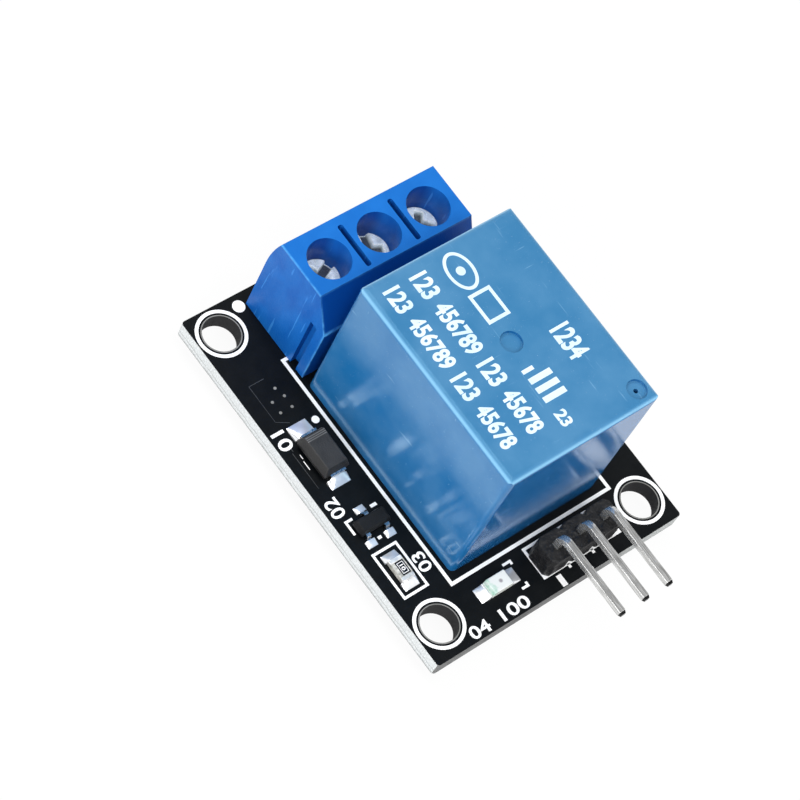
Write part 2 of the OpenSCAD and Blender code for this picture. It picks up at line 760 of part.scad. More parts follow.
// Gull-wing lead: out at mid height, down, and a foot on its pad
module gull_lead() {
    mid = trans_h / 2;
    t = trans_lead_t;
    along_x(trans_lead_w) polygon([
        [0, mid - t / 2], [t, mid - t / 2], [2 * t, 0], [trans_lead_l, 0],
        [trans_lead_l, t], [3 * t, t], [2 * t, mid + t / 2], [0, mid + t / 2]
    ]);
}

// Turns the children to the lone lead at the back and the pair at the front
module each_transistor_lead() {
    translate([0, trans_w / 2, 0]) children();
    for (s = [-1, 1]) translate([s * trans_lead_step / 2, -trans_w / 2, 0]) rotate([0, 0, 180]) children();
}

module transistor_leads() {
    color("#cfd2d6") at_part(trans_x, trans_y) each_transistor_lead() gull_lead();
}

module resistor_body() {
    color("#24262a") at_part(res_x, res_y) box(res_w, res_l - 2 * res_end, 0, res_h);
}

module resistor_ends() {
    color("#d4d7da") at_part(res_x, res_y) for (s = [-1, 1]) translate([0, s * (res_l - res_end) / 2, 0])
        box(res_w, res_end, 0, res_h);
}

module indicator_base() {
    color("#e6ebe4") at_part(led_x, led_y) box(led_l - 2 * led_end, led_w, 0, led_base_t);
}

module indicator_ends() {
    color("#d4d7da") at_part(led_x, led_y) for (s = [-1, 1]) translate([s * (led_l - led_end) / 2, 0, 0])
        box(led_end, led_w, 0, led_base_t);
}

// Clear block on the base with drafted ends
module indicator_lens() {
    lens_l = led_l - 2 * led_end;
    color("#f2f4ee") at_part(led_x, led_y) along_y(led_w) polygon([
        [-lens_l / 2, led_base_t], [lens_l / 2, led_base_t],
        [lens_l / 2 - led_lens_h / 4, led_base_t + led_lens_h],
        [-lens_l / 2 + led_lens_h / 4, led_base_t + led_lens_h]
    ]);
}

// Solder on a pad: high against the part's end at the origin, hollow in the
// middle and thin at the outer edge, running out along +Y
module pad_solder(w, l, h) {
    steps = 5;
    along_x(w) polygon(concat(
        [[0, 0], [l, 0]],
        [for (i = [0:steps]) let (u = i / steps) [l * (1 - u), pad_skin + (h - pad_skin) * u * u]]
    ));
}

module board_solder() {
    color("#dfe2e4") {
        at_part(diode_x, diode_y) for (s = [-1, 1]) rotate([0, 0, s < 0 ? 180 : 0])
            translate([0, diode_l / 2 + diode_lead_t, 0])
                pad_solder(diode_pad_w, diode_pad_l + s * diode_pad_shift, diode_h / 3);
        at_part(trans_x, trans_y) each_transistor_lead()
            translate([0, trans_lead_l, 0]) pad_solder(trans_pad_w, trans_pad_l, trans_lead_t * 2);
        at_part(res_x, res_y) for (a = [0, 180]) rotate([0, 0, a])
            translate([0, res_l / 2, 0]) pad_solder(res_pad_w, res_pad_l, res_h * 0.8);
        at_part(led_x, led_y) for (a = [90, -90]) rotate([0, 0, a])
            translate([0, led_l / 2, 0]) pad_solder(led_pad_w, led_pad_l, led_base_t);
    }
}

// Hollow-sided cone round a trimmed lead under the board
module solder_cone(lead_w, lead_l) {
    steps = 5;
    r0 = norm([lead_w, lead_l]) / 2;
    r1 = r0 + cone_ring;
    difference() {
        rotate_extrude() polygon(concat(
            [[0, 0]],
            [for (i = [0:steps]) let (u = i / steps) [r0 * 1.1 + (r1 - r0 * 1.1) * (1 - u) * (1 - u), -cone_h * u]],
            [[0, -cone_h]]
        ));
        box(lead_w, lead_l, -cone_h - 1, 1);
    }
}

module lead_solder() {
    color("#dfe2e4") {
        at_relay() translate([0, 0, -board_t]) {
            for (s = [-1, 1]) {
                translate([s * pin_x, coil_pin_y, 0]) difference() {
                    solder_cone(coil_pin_d, eps);
                    cylinder(d = coil_pin_d, h = 4 * cone_h, center = true);
                }
                translate([s * pin_x, contact_y, 0]) solder_cone(blade_t, flat_pin_w);
            }
            translate([0, common_y, 0]) solder_cone(flat_pin_w, common_t);
        }
        for (n = [1:ways]) at_way(n) translate([0, 0, -board_t]) solder_cone(clamp_pin_w, frame_t);
        for (n = [1:header_pins]) at_header() translate([header_x(n), 0, -board_t])
            solder_cone(header_pin, header_pin);
    }
}

board();
relay_case();
relay_base();
relay_seal();
coil_bobbin();
coil_winding();
coil_core();
coil_pins();
relay_yoke();
armature();
contact_spring();
moving_contact();
common_strip();
closed_contact_blade();
open_contact_blade();
closed_contact_tip();
open_contact_tip();
terminal_housing();
clamp_frame_1();
clamp_frame_2();
clamp_frame_3();
clamp_screw_1();
clamp_screw_2();
clamp_screw_3();
wire_guard_1();
wire_guard_2();
wire_guard_3();
header_body();
header_pin_1();
header_pin_2();
header_pin_3();
diode_body();
diode_leads();
transistor_body();
transistor_leads();
resistor_body();
resistor_ends();
indicator_base();
indicator_ends();
indicator_lens();
board_solder();
lead_solder();
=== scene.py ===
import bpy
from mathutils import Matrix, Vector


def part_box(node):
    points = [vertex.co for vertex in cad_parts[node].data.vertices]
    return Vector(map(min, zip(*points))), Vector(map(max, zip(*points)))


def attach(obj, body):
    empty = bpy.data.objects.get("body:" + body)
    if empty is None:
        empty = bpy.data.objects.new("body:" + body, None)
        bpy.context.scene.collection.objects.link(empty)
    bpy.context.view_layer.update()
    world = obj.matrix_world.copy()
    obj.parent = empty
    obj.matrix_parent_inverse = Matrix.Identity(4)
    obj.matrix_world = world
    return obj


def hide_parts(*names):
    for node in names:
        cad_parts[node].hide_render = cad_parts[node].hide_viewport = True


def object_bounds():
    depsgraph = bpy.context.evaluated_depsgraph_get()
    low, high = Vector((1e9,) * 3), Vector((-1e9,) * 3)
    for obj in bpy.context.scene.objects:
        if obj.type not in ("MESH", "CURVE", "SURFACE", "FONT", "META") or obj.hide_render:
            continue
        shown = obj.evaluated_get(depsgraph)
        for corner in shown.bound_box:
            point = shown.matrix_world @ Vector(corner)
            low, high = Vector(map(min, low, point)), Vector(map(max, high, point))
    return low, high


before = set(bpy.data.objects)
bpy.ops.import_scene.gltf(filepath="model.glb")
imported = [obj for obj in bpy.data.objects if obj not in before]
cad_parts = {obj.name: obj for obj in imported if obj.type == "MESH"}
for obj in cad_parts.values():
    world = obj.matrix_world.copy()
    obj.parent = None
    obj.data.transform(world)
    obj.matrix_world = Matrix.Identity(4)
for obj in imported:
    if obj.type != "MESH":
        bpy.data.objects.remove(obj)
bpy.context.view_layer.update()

# Relay module board: finishes for the solids, printed lines and numbers, floor, light and camera
import math
import bmesh
import bpy
import numpy as np
from mathutils import Vector

mm = 0.001
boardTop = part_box("board")[1][2] / mm
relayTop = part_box("relay_case")[1][2] / mm
holePlace = (10.7, 14.55)
print("frame loaded:", len(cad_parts), "solids")


# small helpers for node trees

def newFinish(name, colour=(0.5, 0.5, 0.5), rough=0.5, metal=0.0, ior=1.5):
    material = bpy.data.materials.new(name)
    material.use_nodes = True
    tree = material.node_tree
    shader = tree.nodes["Principled BSDF"]
    shader.inputs["Base Color"].default_value = (*colour, 1)
    shader.inputs["Roughness"].default_value = rough
    shader.inputs["Metallic"].default_value = metal
    shader.inputs["IOR"].default_value = ior
    return material, tree, shader


def addNode(tree, kind, values=(), **settings):
    node = tree.nodes.new("ShaderNode" + kind)
    for key, value in settings.items():
        setattr(node, key, value)
    for key, value in dict(values).items():
        node.inputs[key].default_value = value
    return node


def objectPlace(tree, stretch=(1, 1, 1)):
    coords = addNode(tree, "TexCoord")
    mapping = addNode(tree, "Mapping", {"Scale": stretch})
    tree.links.new(coords.outputs["Object"], mapping.inputs["Vector"])
    return mapping.outputs["Vector"]


def speckle(tree, size, detail=3.0, rough=0.55, stretch=(1, 1, 1), low=0.35, high=0.65):
    # soft noise with features about size millimetres across, spread between 0 and 1
    noise = addNode(tree, "TexNoise", {"Scale": 1 / (size * mm), "Detail": detail, "Roughness": rough})
    tree.links.new(objectPlace(tree, stretch), noise.inputs["Vector"])
    spread = addNode(tree, "MapRange", {"From Min": low, "From Max": high})
    tree.links.new(noise.outputs["Fac"], spread.inputs["Value"])
    return spread.outputs["Result"]


def mixColours(tree, share, first, second):
    mix = addNode(tree, "Mix", data_type="RGBA")
    for socket, value in ((mix.inputs[6], first), (mix.inputs[7], second)):
        if isinstance(value, tuple):
            socket.default_value = (*value, 1)
        else:
            tree.links.new(value, socket)
    tree.links.new(share, mix.inputs[0])
    return mix.outputs[2]


def mixValues(tree, share, first, second):
    mix = addNode(tree, "MapRange", {"To Min": first, "To Max": second})
    tree.links.new(share, mix.inputs["Value"])
    return mix.outputs["Result"]


def reckon(tree, operation, first, second=0.0, third=0.0):
    node = addNode(tree, "Math", operation=operation)
    for socket, value in zip(node.inputs, (first, second, third)):
        if isinstance(value, (int, float)):
            socket.default_value = value
        else:
            tree.links.new(value, socket)
    return node.outputs[0]


def relief(tree, shader, height, depth, strength=1.0):
    # bump whose full height is depth millimetres
    bump = addNode(tree, "Bump", {"Strength": strength, "Distance": depth * mm})
    tree.links.new(height, bump.inputs["Height"])
    tree.links.new(bump.outputs["Normal"], shader.inputs["Normal"])


def separate(tree, vector):
    node = addNode(tree, "SeparateXYZ")
    tree.links.new(vector, node.inputs[0])
    return node.outputs


def nearEdges(tree, planes, reach):
    # planes hold (direction, offset): closeness to a plane falls from 1 to 0 over reach millimetres,
    # and an edge is where the second closest plane is close too
    coords = addNode(tree, "TexCoord").outputs["Object"]
    closest, second = 0.0, 0.0
    for direction, offset in planes:
        along = addNode(tree, "VectorMath", operation="DOT_PRODUCT")
        along.inputs[1].default_value = direction
        tree.links.new(coords, along.inputs[0])
        away = reckon(tree, "ABSOLUTE", reckon(tree, "SUBTRACT", along.outputs["Value"], offset))
        close = addNode(tree, "MapRange", {"From Max": reach * mm, "To Min": 1.0, "To Max": 0.0})
        tree.links.new(away, close.inputs["Value"])
        close = close.outputs["Result"]
        second = reckon(tree, "MAXIMUM", second, reckon(tree, "MINIMUM", closest, close))
        closest = reckon(tree, "MAXIMUM", closest, close)
    return second


# finishes, one function for each look that needs its own

def mouldedFinish(name, colour, lighter, rough, grain, ior=1.5):
    # moulded plastic: slow colour drift, fine grain in gloss and surface
    material, tree, shader = newFinish(name, colour, rough[0], 0.0, ior)
    drift = speckle(tree, 2.5, 2.0)
    tree.links.new(mixColours(tree, drift, colour, lighter), shader.inputs["Base Color"])
    fine = speckle(tree, 0.12, 4.0)
    tree.links.new(mixValues(tree, fine, *rough), shader.inputs["Roughness"])
    relief(tree, shader, fine, grain)
    return material


def metalFinish(name, colour, darker, rough, grain, size=0.4, stretch=(1, 1, 1), metal=1.0):
    # plated or cast metal: stained patches, uneven gloss, fine surface waves
    material, tree, shader = newFinish(name, colour, rough[0], metal)
    stain = speckle(tree, size * 2, 4.0, 0.6, stretch)
    tree.links.new(mixColours(tree, stain, darker, colour), shader.inputs["Base Color"])
    fine = speckle(tree, size, 5.0, 0.6, stretch)
    tree.links.new(mixValues(tree, fine, *rough), shader.inputs["Roughness"])
    relief(tree, shader, fine, grain)
    return material


def boardFinish():
    # black mask on the faces, pale laminate along the sawn sides, the front side and the drilled walls of the
    # holes painted darker as shade
    look = {"mask": (0.002, 0.003, 0.004), "maskWarm": (0.004, 0.005, 0.006), "laminate": (0.76, 0.79, 0.80),
            "laminateDark": (0.52, 0.54, 0.54), "front": (0.50, 0.52, 0.51), "frontGrey": (0.33, 0.34, 0.34),
            "paintedLight": (0.20, 0.20, 0.20), "paintedShadeDark": (0.09, 0.09, 0.09), "score": (0.26, 0.27, 0.27),
            "holeWallShade": (0.03, 0.03, 0.031), "gloss": (0.28, 0.42),
            "ior": 1.42, "shine": 0.18, "skin": 0.03, "drilledReach": 1.75, "scoreHeight": 0.62,
            "tornHeight": 0.26}
    material, tree, shader = newFinish("boardMask", look["mask"], 0.35, 0.0, look["ior"])
    shader.inputs["Specular IOR Level"].default_value = look["shine"]
    coords = addNode(tree, "TexCoord").outputs["Object"]
    x, y, z = separate(tree, coords)
    inside = reckon(tree, "MULTIPLY", reckon(tree, "GREATER_THAN", z, look["skin"] * mm),
                    reckon(tree, "LESS_THAN", z, (boardTop - look["skin"]) * mm))
    # near the four mounting holes the side is a drilled wall
    dx = reckon(tree, "SUBTRACT", reckon(tree, "ABSOLUTE", x), holePlace[0] * mm)
    dy = reckon(tree, "SUBTRACT", reckon(tree, "ABSOLUTE", y), holePlace[1] * mm)
    squares = [reckon(tree, "MULTIPLY", value, value) for value in (dx, dy)]
    away = reckon(tree, "SQRT", reckon(tree, "ADD", *squares))
    drilled = reckon(tree, "LESS_THAN", away, look["drilledReach"] * mm)
    fibres = speckle(tree, 0.10, 5.0, 0.7, (1, 1, 0.3), 0.35, 0.65)
    sawn = mixColours(tree, fibres, look["laminateDark"], look["laminate"])
    # painted shade: the side facing the front is darker than the laminate, and darker still toward the left
    normal = separate(tree, addNode(tree, "TexCoord").outputs["Normal"])
    front = reckon(tree, "LESS_THAN", normal[1], -0.5)
    shade = speckle(tree, 6.0, 3.0)
    rightward = addNode(tree, "MapRange", {"From Min": 3 * mm, "From Max": 10 * mm})
    tree.links.new(x, rightward.inputs["Value"])
    dim = mixColours(tree, shade, look["paintedShadeDark"], look["paintedLight"])
    bright = mixColours(tree, shade, look["frontGrey"], look["front"])
    sawn = mixColours(tree, front, sawn, mixColours(tree, rightward.outputs["Result"], dim, bright))
    # the score line along the middle and the broken lower edge are greyer
    ragged = reckon(tree, "MULTIPLY_ADD", speckle(tree, 0.9, 3.0), 0.14 * mm, z)
    fromScore = reckon(tree, "ABSOLUTE", reckon(tree, "SUBTRACT", ragged, look["scoreHeight"] * mm))
    score = reckon(tree, "LESS_THAN", fromScore, 0.06 * mm)
    torn = reckon(tree, "MAXIMUM", score, reckon(tree, "LESS_THAN", ragged, look["tornHeight"] * mm))
    sawn = mixColours(tree, reckon(tree, "MULTIPLY", torn, 0.45), sawn, look["score"])
    # painted shade: the walls of the drilled holes are near-black
    wall = mixColours(tree, drilled, sawn, look["holeWallShade"])
    face = mixColours(tree, speckle(tree, 1.5, 4.0), look["mask"], look["maskWarm"])
    tree.links.new(mixColours(tree, inside, face, wall), shader.inputs["Base Color"])
    fine = speckle(tree, 0.1, 4.0)
    gloss = mixValues(tree, fine, *look["gloss"])
    tree.links.new(reckon(tree, "MULTIPLY_ADD", inside, 0.4, gloss), shader.inputs["Roughness"])
    relief(tree, shader, fine, 0.004)
    return material


def caseFinish():
    # blue relay case: satin top, glossy sides, faint scratches and dust; the front face painted darker as shade
    # and the rounded edges paler as a painted highlight
    look = {"top": (0.025, 0.155, 0.340), "front": (0.004, 0.105, 0.300), "side": (0.012, 0.140, 0.370),
            "edge": (0.24, 0.52, 0.76), "scratch": (0.25, 0.48, 0.70), "dust": (0.6, 0.75, 0.85),
            "topRough": 0.34, "sideRough": 0.07, "frontShine": 0.22, "sheenTint": (0.55, 0.92, 1.0),
            "ior": 1.72}
    material, tree, shader = newFinish("caseBlue", look["top"], 0.2, 0.0, look["ior"])
    shader.inputs["Specular Tint"].default_value = (*look["sheenTint"], 1)
    facing = separate(tree, addNode(tree, "TexCoord").outputs["Normal"])[2]
    upward = addNode(tree, "MapRange", {"From Min": 0.2, "From Max": 0.95}, interpolation_type="SMOOTHSTEP")
    tree.links.new(facing, upward.inputs["Value"])
    upward = upward.outputs["Result"]
    forward = separate(tree, addNode(tree, "TexCoord").outputs["Normal"])[1]
    facingFront = addNode(tree, "MapRange", {"From Min": -0.3, "From Max": -0.9})
    tree.links.new(forward, facingFront.inputs["Value"])
    # painted shade: the face turned to the front is darker than the sides
    sides = mixColours(tree, facingFront.outputs["Result"], look["side"], look["front"])
    shine = mixValues(tree, facingFront.outputs["Result"], 0.5, look["frontShine"])
    tree.links.new(shine, shader.inputs["Specular IOR Level"])
    body = mixColours(tree, upward, sides, look["top"])
    # painted highlight: where the surface turns from the sides to the top it is paler
    paintedEdgeHighlight = reckon(tree, "MULTIPLY", upward, reckon(tree, "SUBTRACT", 1.0, upward))
    body = mixColours(tree, reckon(tree, "MULTIPLY", paintedEdgeHighlight, 3.2), body, look["edge"])
    drift = speckle(tree, 4.0, 3.0)
    haze = mixValues(tree, facingFront.outputs["Result"], 0.12, 0.015)
    body = mixColours(tree, reckon(tree, "MULTIPLY", drift, haze), body, look["scratch"])
    lines = speckle(tree, 0.22, 3.0, 0.5, (1, 0.05, 0.3), 0.69, 0.74)
    cross = speckle(tree, 0.22, 3.0, 0.5, (0.06, 1, 0.4), 0.70, 0.75)
    scratches = reckon(tree, "MULTIPLY", reckon(tree, "MAXIMUM", lines, cross), 0.35)
    body = mixColours(tree, scratches, body, look["scratch"])
    dust = speckle(tree, 0.09, 1.0, 0.5, (1, 1, 1), 0.76, 0.79)
    body = mixColours(tree, reckon(tree, "MULTIPLY", dust, 0.5), body, look["dust"])
    tree.links.new(body, shader.inputs["Base Color"])
    gloss = mixValues(tree, upward, look["sideRough"], look["topRough"])
    smear = reckon(tree, "MULTIPLY", speckle(tree, 1.2, 4.0), 0.06)
    tree.links.new(reckon(tree, "ADD", gloss, smear), shader.inputs["Roughness"])
    fine = reckon(tree, "ADD", reckon(tree, "MULTIPLY", speckle(tree, 0.08, 3.0), 0.5), scratches)
    relief(tree, shader, fine, 0.003)
    return material


def terminalFinish():
    # bright blue nylon: the side that leans to the relay painted darker as shade, a painted highlight along its
    # edges, darker patches on the end face and paler streaks there painted as reflections
    look = {"blue": (0.011, 0.150, 0.535), "deep": (0.009, 0.132, 0.490), "lean": (0.0015, 0.050, 0.270),
            "edge": (0.10, 0.42, 0.85), "streak": (0.06, 0.30, 0.76), "dull": (0.005, 0.105, 0.440),
            "rough": (0.30, 0.45), "edgeReach": 0.17, "ior": 1.4, "shine": 0.35,
            "sheenTint": (0.35, 0.75, 1.0), "slope": (0, -3.35, 1.8), "slopeFoot": 6.7}
    material, tree, shader = newFinish("terminalBlue", look["blue"], 0.4, 0.0, look["ior"])
    shader.inputs["Specular IOR Level"].default_value = look["shine"]
    shader.inputs["Specular Tint"].default_value = (*look["sheenTint"], 1)
    low, high = (np.array(corner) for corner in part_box("terminal_housing"))
    tint = mixColours(tree, speckle(tree, 2.5, 2.0), look["blue"], look["deep"])
    normal = separate(tree, addNode(tree, "TexCoord").outputs["Normal"])
    # painted shade: faces that lean toward the relay are darker
    shadedSlope = addNode(tree, "MapRange", {"From Min": -0.45, "From Max": -0.85})
    tree.links.new(normal[1], shadedSlope.inputs["Value"])
    tint = mixColours(tree, shadedSlope.outputs["Result"], tint, look["lean"])
    ended = reckon(tree, "LESS_THAN", normal[0], -0.8)
    patches = reckon(tree, "MULTIPLY", ended, speckle(tree, 1.8, 3.0, 0.55, (1, 1, 0.5)))
    tint = mixColours(tree, patches, tint, look["dull"])
    # painted reflection: paler streaks on the end face
    lines = speckle(tree, 0.35, 2.0, 0.5, (1, 1, 0.08), 0.66, 0.70)
    paintedReflections = reckon(tree, "MULTIPLY", reckon(tree, "MULTIPLY", ended, lines), 0.55)
    tint = mixColours(tree, paintedReflections, tint, look["streak"])
    lean = Vector(look["slope"]).normalized()
    planes = [((1, 0, 0), low[0]), ((1, 0, 0), high[0]), ((0, 1, 0), low[1]), ((0, 0, 1), high[2]),
              (tuple(lean), lean.dot(Vector((0, low[1], low[2] + look["slopeFoot"] * mm))))]
    # painted highlight: near the housing's edges the colour turns paler, broken up by noise
    edge = nearEdges(tree, planes, look["edgeReach"])
    paintedLight = reckon(tree, "MULTIPLY", edge, mixValues(tree, speckle(tree, 0.8, 4.0), 0.25, 0.95))
    tree.links.new(mixColours(tree, paintedLight, tint, look["edge"]), shader.inputs["Base Color"])
    fine = speckle(tree, 0.12, 4.0)
    tree.links.new(mixValues(tree, fine, *look["rough"]), shader.inputs["Roughness"])
    relief(tree, shader, fine, 0.004)
    return material


def pinFinish():
    # drawn square wire, streaked along its length, its cut ends painted near-black as a painted dark reflection
    look = {"tin": (0.78, 0.78, 0.77), "drawn": (0.48, 0.48, 0.47), "cut": (0.012, 0.012, 0.013),
            "darkTipReach": 0.23, "metal": 0.8, "rough": (0.14, 0.30)}
    material, tree, shader = newFinish("pinTin", look["tin"], 0.2, look["metal"])
    streak = speckle(tree, 0.09, 3.0, 0.6, (1, 0.06, 1), 0.38, 0.62)
    tin = mixColours(tree, streak, look["drawn"], look["tin"])
    y = separate(tree, addNode(tree, "TexCoord").outputs["Object"])[1]
    # painted reflection: the last stretch toward the tips is near-black
    cut = reckon(tree, "LESS_THAN", y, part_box("header_pin_1")[0][1] + look["darkTipReach"] * mm)
    tree.links.new(mixColours(tree, cut, tin, look["cut"]), shader.inputs["Base Color"])
    tree.links.new(mixValues(tree, streak, *look["rough"]), shader.inputs["Roughness"])
    relief(tree, shader, streak, 0.003)
    return material


def lensFinish():
    # clear block over a white base: greenish to the left, with the small grey die seen through the top
    look = {"white": (0.80, 0.83, 0.81), "green": (0.40, 0.66, 0.54), "die": (0.25, 0.22, 0.24)}
    material, tree, shader = newFinish("indicatorClear", look["white"], 0.08, 0.0, 1.5)
    low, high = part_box("indicator_lens")
    x, y, z = separate(tree, addNode(tree, "TexCoord").outputs["Object"])
    side = addNode(tree, "MapRange", {"From Min": low[0] + 0.25 * mm, "From Max": low[0] + 0.75 * mm,
                                      "To Min": 1.0, "To Max": 0.0})
    cloud = reckon(tree, "MULTIPLY_ADD", speckle(tree, 0.5, 3.0), 0.5 * mm, x)
    tree.links.new(cloud, side.inputs["Value"])
    tint = mixColours(tree, side.outputs["Result"], look["white"], look["green"])
    away = addNode(tree, "VectorMath", operation="DISTANCE")
    away.inputs[1].default_value = ((low[0] + high[0]) / 2 + 0.12 * mm, (low[1] + high[1]) / 2, high[2])
    tree.links.new(addNode(tree, "TexCoord").outputs["Object"], away.inputs[0])
    die = addNode(tree, "MapRange", {"From Min": 0.10 * mm, "From Max": 0.22 * mm,
                                     "To Min": 0.8, "To Max": 0.0})
    tree.links.new(away.outputs["Value"], die.inputs["Value"])
    tree.links.new(mixColours(tree, die.outputs["Result"], tint, look["die"]), shader.inputs["Base Color"])
    relief(tree, shader, speckle(tree, 0.3, 2.0), 0.004)
    return material


def resistorFinish():
    # white ceramic block with a dark glaze window and a thin white frame printed on its top
    look = {"ceramic": (0.72, 0.71, 0.66), "stain": (0.30, 0.30, 0.27), "glaze": (0.006, 0.006, 0.007),
            "window": (0.40, 0.62), "frame": (0.29, 0.49), "line": 0.055, "offset": 0.10,
            "ink": (0.8, 0.8, 0.8)}
    material, tree, shader = newFinish("resistorGlaze", look["ceramic"], 0.25)
    low, high = (np.array(corner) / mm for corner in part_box("resistor_body"))
    x, y, z = separate(tree, addNode(tree, "TexCoord").outputs["Object"])
    middle = (low + high) / 2
    fromMiddle = [reckon(tree, "ABSOLUTE", reckon(tree, "SUBTRACT", value, centre * mm))
                  for value, centre in ((x, middle[0] + look["offset"]), (y, middle[1]))]

    def within(half):
        return reckon(tree, "MULTIPLY", *[reckon(tree, "LESS_THAN", value, limit * mm)
                                          for value, limit in zip(fromMiddle, half)])

    window = within(look["window"])
    ring = reckon(tree, "SUBTRACT", within(look["frame"]), within([v - look["line"] for v in look["frame"]]))
    base = mixColours(tree, speckle(tree, 0.35, 4.0), look["ceramic"], look["stain"])
    base = mixColours(tree, window, base, look["glaze"])
    tree.links.new(mixColours(tree, ring, base, look["ink"]), shader.inputs["Base Color"])
    relief(tree, shader, speckle(tree, 0.12, 3.0), 0.004)
    return material


def screwFinish():
    # bright zinc; the piece's own attributes paint the recess dark as painted shade and its rim pale as a painted
    # highlight
    look = {"zinc": (0.80, 0.90, 0.95), "dull": (0.46, 0.55, 0.60), "deep": (0.05, 0.06, 0.08),
            "rim": (1.0, 1.0, 1.0), "metal": 0.35, "glint": 0.32}
    material, tree, shader = newFinish("screwZinc", look["zinc"], 0.3, look["metal"])
    cut = addNode(tree, "Attribute", attribute_name="recess").outputs["Fac"]
    rim = addNode(tree, "Attribute", attribute_name="rim").outputs["Fac"]
    tint = mixColours(tree, speckle(tree, 0.5, 4.0), look["dull"], look["zinc"])
    # painted shade in the recess, then a painted highlight along its rim
    tint = mixColours(tree, cut, tint, look["deep"])
    tint = mixColours(tree, rim, tint, look["rim"])
    tree.links.new(tint, shader.inputs["Base Color"])
    # stands in for the light that bright walls of metal throw at each other
    tree.links.new(tint, shader.inputs["Emission Color"])
    shader.inputs["Emission Strength"].default_value = look["glint"]
    fine = speckle(tree, 0.6, 3.0)
    tree.links.new(mixValues(tree, fine, 0.18, 0.32), shader.inputs["Roughness"])
    relief(tree, shader, fine, 0.006)
    return material


def headerFinish():
    # black moulded strip, lumpy, with pale stressed corners
    look = {"black": (0.006, 0.006, 0.007), "warm": (0.014, 0.014, 0.015), "scar": (0.05, 0.05, 0.055)}
    material, tree, shader = newFinish("headerBlack", look["black"], 0.4)
    shader.inputs["Specular IOR Level"].default_value = 0.3
    tint = mixColours(tree, speckle(tree, 0.6, 4.0), look["black"], look["warm"])
    scar = speckle(tree, 0.25, 5.0, 0.65, (1, 1, 0.5), 0.62, 0.70)
    tree.links.new(mixColours(tree, scar, tint, look["scar"]), shader.inputs["Base Color"])
    tree.links.new(mixValues(tree, speckle(tree, 0.2, 4.0), 0.3, 0.55), shader.inputs["Roughness"])
    relief(tree, shader, speckle(tree, 0.7, 4.0), 0.09)
    return material


print("finishes")
# colour, lighter colour, range of gloss, grain in millimetres, refractive index where it isn't 1.5
mouldedLooks = {
    "baseDark": ((0.012, 0.022, 0.036), (0.02, 0.03, 0.05), (0.35, 0.5), 0.004),
    "sealEpoxy": ((0.008, 0.012, 0.018), (0.02, 0.028, 0.04), (0.12, 0.3), 0.02),
    "bobbinBlack": ((0.015, 0.017, 0.02), (0.03, 0.032, 0.036), (0.35, 0.5), 0.004),
    "chipBlack": ((0.012, 0.012, 0.013), (0.024, 0.024, 0.025), (0.35, 0.55), 0.010),
    "chipDark": ((0.004, 0.005, 0.006), (0.009, 0.010, 0.012), (0.35, 0.55), 0.010, 1.28),
    "indicatorWhite": ((0.70, 0.74, 0.68), (0.80, 0.83, 0.78), (0.3, 0.45), 0.003),
    "printPale": ((0.54, 0.70, 0.81), (0.66, 0.79, 0.88), (0.4, 0.55), 0.003),
    "rimGrey": ((0.16, 0.16, 0.15), (0.26, 0.26, 0.25), (0.4, 0.6), 0.004),
    "chipEdge": ((0.10, 0.10, 0.10), (0.20, 0.20, 0.20), (0.3, 0.5), 0.003),
    "traceGrey": ((0.03, 0.032, 0.035), (0.06, 0.065, 0.07), (0.25, 0.4), 0.004),
    "printWhite": ((0.94, 0.95, 0.95), (0.98, 0.98, 0.98), (0.45, 0.6), 0.003),
}
# colour, stained colour, range of gloss, wave in millimetres, then its size, stretch and share of metal
metalLooks = {
    "windingWire": ((0.60, 0.24, 0.09), (0.35, 0.11, 0.04), (0.2, 0.4), 0.02, 0.12, (1, 1, 18)),
    "relayIron": ((0.50, 0.51, 0.52), (0.34, 0.34, 0.35), (0.25, 0.4), 0.004),
    "contactAlloy": ((0.72, 0.42, 0.20), (0.5, 0.27, 0.12), (0.2, 0.35), 0.003),
    "contactSilver": ((0.86, 0.85, 0.80), (0.6, 0.58, 0.54), (0.15, 0.3), 0.003, 0.15),
    "clampTin": ((0.68, 0.69, 0.70), (0.42, 0.43, 0.44), (0.18, 0.35), 0.006),
    "chipLeads": ((0.76, 0.76, 0.76), (0.5, 0.5, 0.5), (0.15, 0.3), 0.003, 0.15),
    "solderBright": ((0.95, 0.96, 0.97), (0.80, 0.81, 0.83), (0.12, 0.26), 0.006, 0.6, (1, 1, 1), 0.6),
    "capSilver": ((0.95, 0.95, 0.93), (0.62, 0.62, 0.60), (0.34, 0.50), 0.006, 0.4, (1, 1, 1), 0.65),
}
finishes = {"boardMask": boardFinish(), "caseBlue": caseFinish(), "terminalBlue": terminalFinish(),
            "screwZinc": screwFinish(), "headerBlack": headerFinish(), "pinTin": pinFinish(),
            "resistorGlaze": resistorFinish(), "indicatorClear": lensFinish()}
finishes.update({name: mouldedFinish(name, *values) for name, values in mouldedLooks.items()})
finishes.update({name: metalFinish(name, *values) for name, values in metalLooks.items()})

